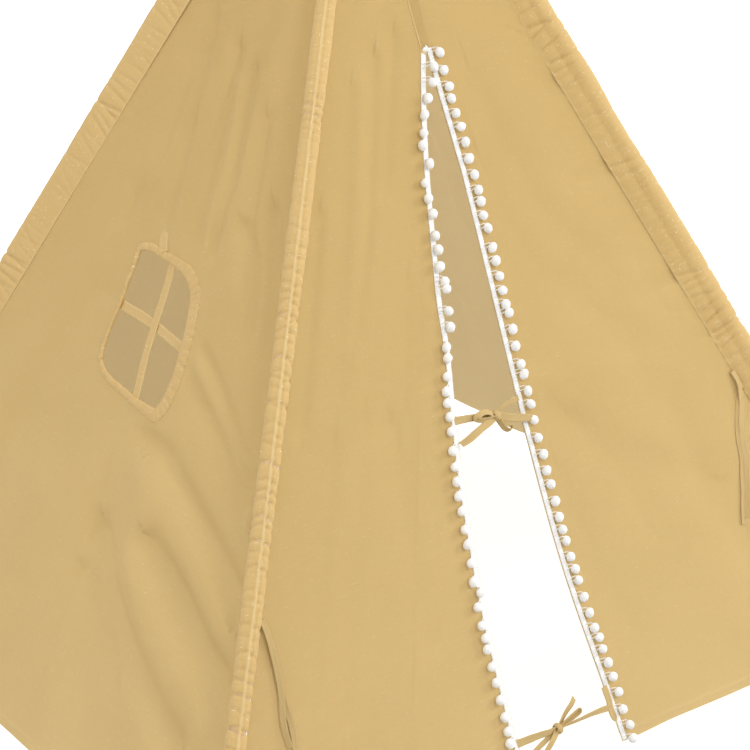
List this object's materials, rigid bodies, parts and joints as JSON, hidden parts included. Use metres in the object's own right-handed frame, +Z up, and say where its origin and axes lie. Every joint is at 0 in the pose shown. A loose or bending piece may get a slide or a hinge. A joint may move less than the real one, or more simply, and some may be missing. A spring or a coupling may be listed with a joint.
{
  "type": "kids teepee",
  "caption": "Four-pole canvas play tent with rope-lashed folding poles, a tie-up door slit edged with pom-pom braid and a bound window with a sewn cross.",
  "frame": {"origin": "on the floor, straight under the crossing of the four poles", "axes": "+Z up, the door faces -Y, the window is in the -X wall"},
  "size_m": [1.28, 1.1798, 1.5647],
  "materials": {
    "pine": "satin",
    "ferrule_metal": "satin",
    "foot_rubber": "matte",
    "cotton_rope": "matte",
    "mustard_canvas": "matte",
    "mustard_tape": "matte",
    "white_trim": "matte"
  },
  "bodies": {
    "crown": {"lashing_rope": "cotton_rope", "lashing_knot": "cotton_rope", "left_wall": "mustard_canvas", "right_wall": "mustard_canvas", "back_wall": "mustard_canvas", "front_left_panel": "mustard_canvas", "front_right_panel": "mustard_canvas", "centre_seam_tape": "mustard_canvas", "door_trim_left_top": "white_trim", "door_trim_right_top": "white_trim", "window_binding": "mustard_canvas", "window_bar_upright": "mustard_canvas", "window_bar_level": "mustard_canvas", "window_tab": "mustard_canvas"},
    "pole_front_left": {"front_left_lower_pole": "pine", "front_left_upper_pole": "pine", "front_left_ferrule": "ferrule_metal", "front_left_foot": "foot_rubber", "front_left_sleeve": "mustard_canvas", "tie_back_left": "mustard_tape"},
    "pole_front_right": {"front_right_lower_pole": "pine", "front_right_upper_pole": "pine", "front_right_ferrule": "ferrule_metal", "front_right_foot": "foot_rubber", "front_right_sleeve": "mustard_canvas", "tie_back_right": "mustard_tape"},
    "pole_back_right": {"back_right_lower_pole": "pine", "back_right_upper_pole": "pine", "back_right_ferrule": "ferrule_metal", "back_right_foot": "foot_rubber", "back_right_sleeve": "mustard_canvas"},
    "pole_back_left": {"back_left_lower_pole": "pine", "back_left_upper_pole": "pine", "back_left_ferrule": "ferrule_metal", "back_left_foot": "foot_rubber", "back_left_sleeve": "mustard_canvas"},
    "flap_left": {"door_flap_left": "mustard_canvas", "door_trim_left_fold": "white_trim", "door_trim_left_low": "white_trim", "door_tie_upper_left": "mustard_tape", "door_tie_lower_left": "mustard_tape"},
    "flap_right": {"door_flap_right": "mustard_canvas", "door_trim_right_fold": "white_trim", "door_trim_right_low": "white_trim", "door_tie_upper_right": "mustard_tape", "door_tie_lower_right": "mustard_tape"}
  },
  "joints": [
    {"name": "fold_front_left", "type": "hinge", "parent": "crown", "child": "pole_front_left", "pos_m": [0, 0, 1.334], "axis": [0.6603, -0.751, 0], "range_deg": [0, 29.4], "deforming": ["left_wall", "right_wall", "back_wall", "front_left_panel", "front_right_panel", "tie_back_left", "tie_back_right"]},
    {"name": "fold_front_right", "type": "hinge", "parent": "crown", "child": "pole_front_right", "pos_m": [0, 0, 1.334], "axis": [0.6934, 0.7205, 0], "range_deg": [0, 29.4]},
    {"name": "fold_back_right", "type": "hinge", "parent": "crown", "child": "pole_back_right", "pos_m": [0, 0, 1.334], "axis": [-0.6603, 0.751, 0], "range_deg": [0, 29.4]},
    {"name": "fold_back_left", "type": "hinge", "parent": "crown", "child": "pole_back_left", "pos_m": [0, 0, 1.334], "axis": [-0.6934, -0.7205, 0], "range_deg": [0, 29.4]},
    {"name": "door_flap_left_open", "type": "hinge", "parent": "crown", "child": "flap_left", "pos_m": [-0.06813, -0.25672, 0.7403], "axis": [-0.3074, -0.3767, -0.8739], "range_deg": [0, 150], "deforming": ["door_trim_left_fold"]},
    {"name": "door_flap_right_open", "type": "hinge", "parent": "crown", "child": "flap_right", "pos_m": [0.01467, -0.25672, 0.7403], "axis": [-0.3646, 0.3686, 0.8551], "range_deg": [0, 150], "deforming": ["door_trim_right_fold"]}
  ],
  "couplings": [
    {"joint": "fold_front_right", "follows": "fold_front_left", "ratio": 1},
    {"joint": "fold_back_right", "follows": "fold_front_left", "ratio": 1},
    {"joint": "fold_back_left", "follows": "fold_front_left", "ratio": 1}
  ]
}
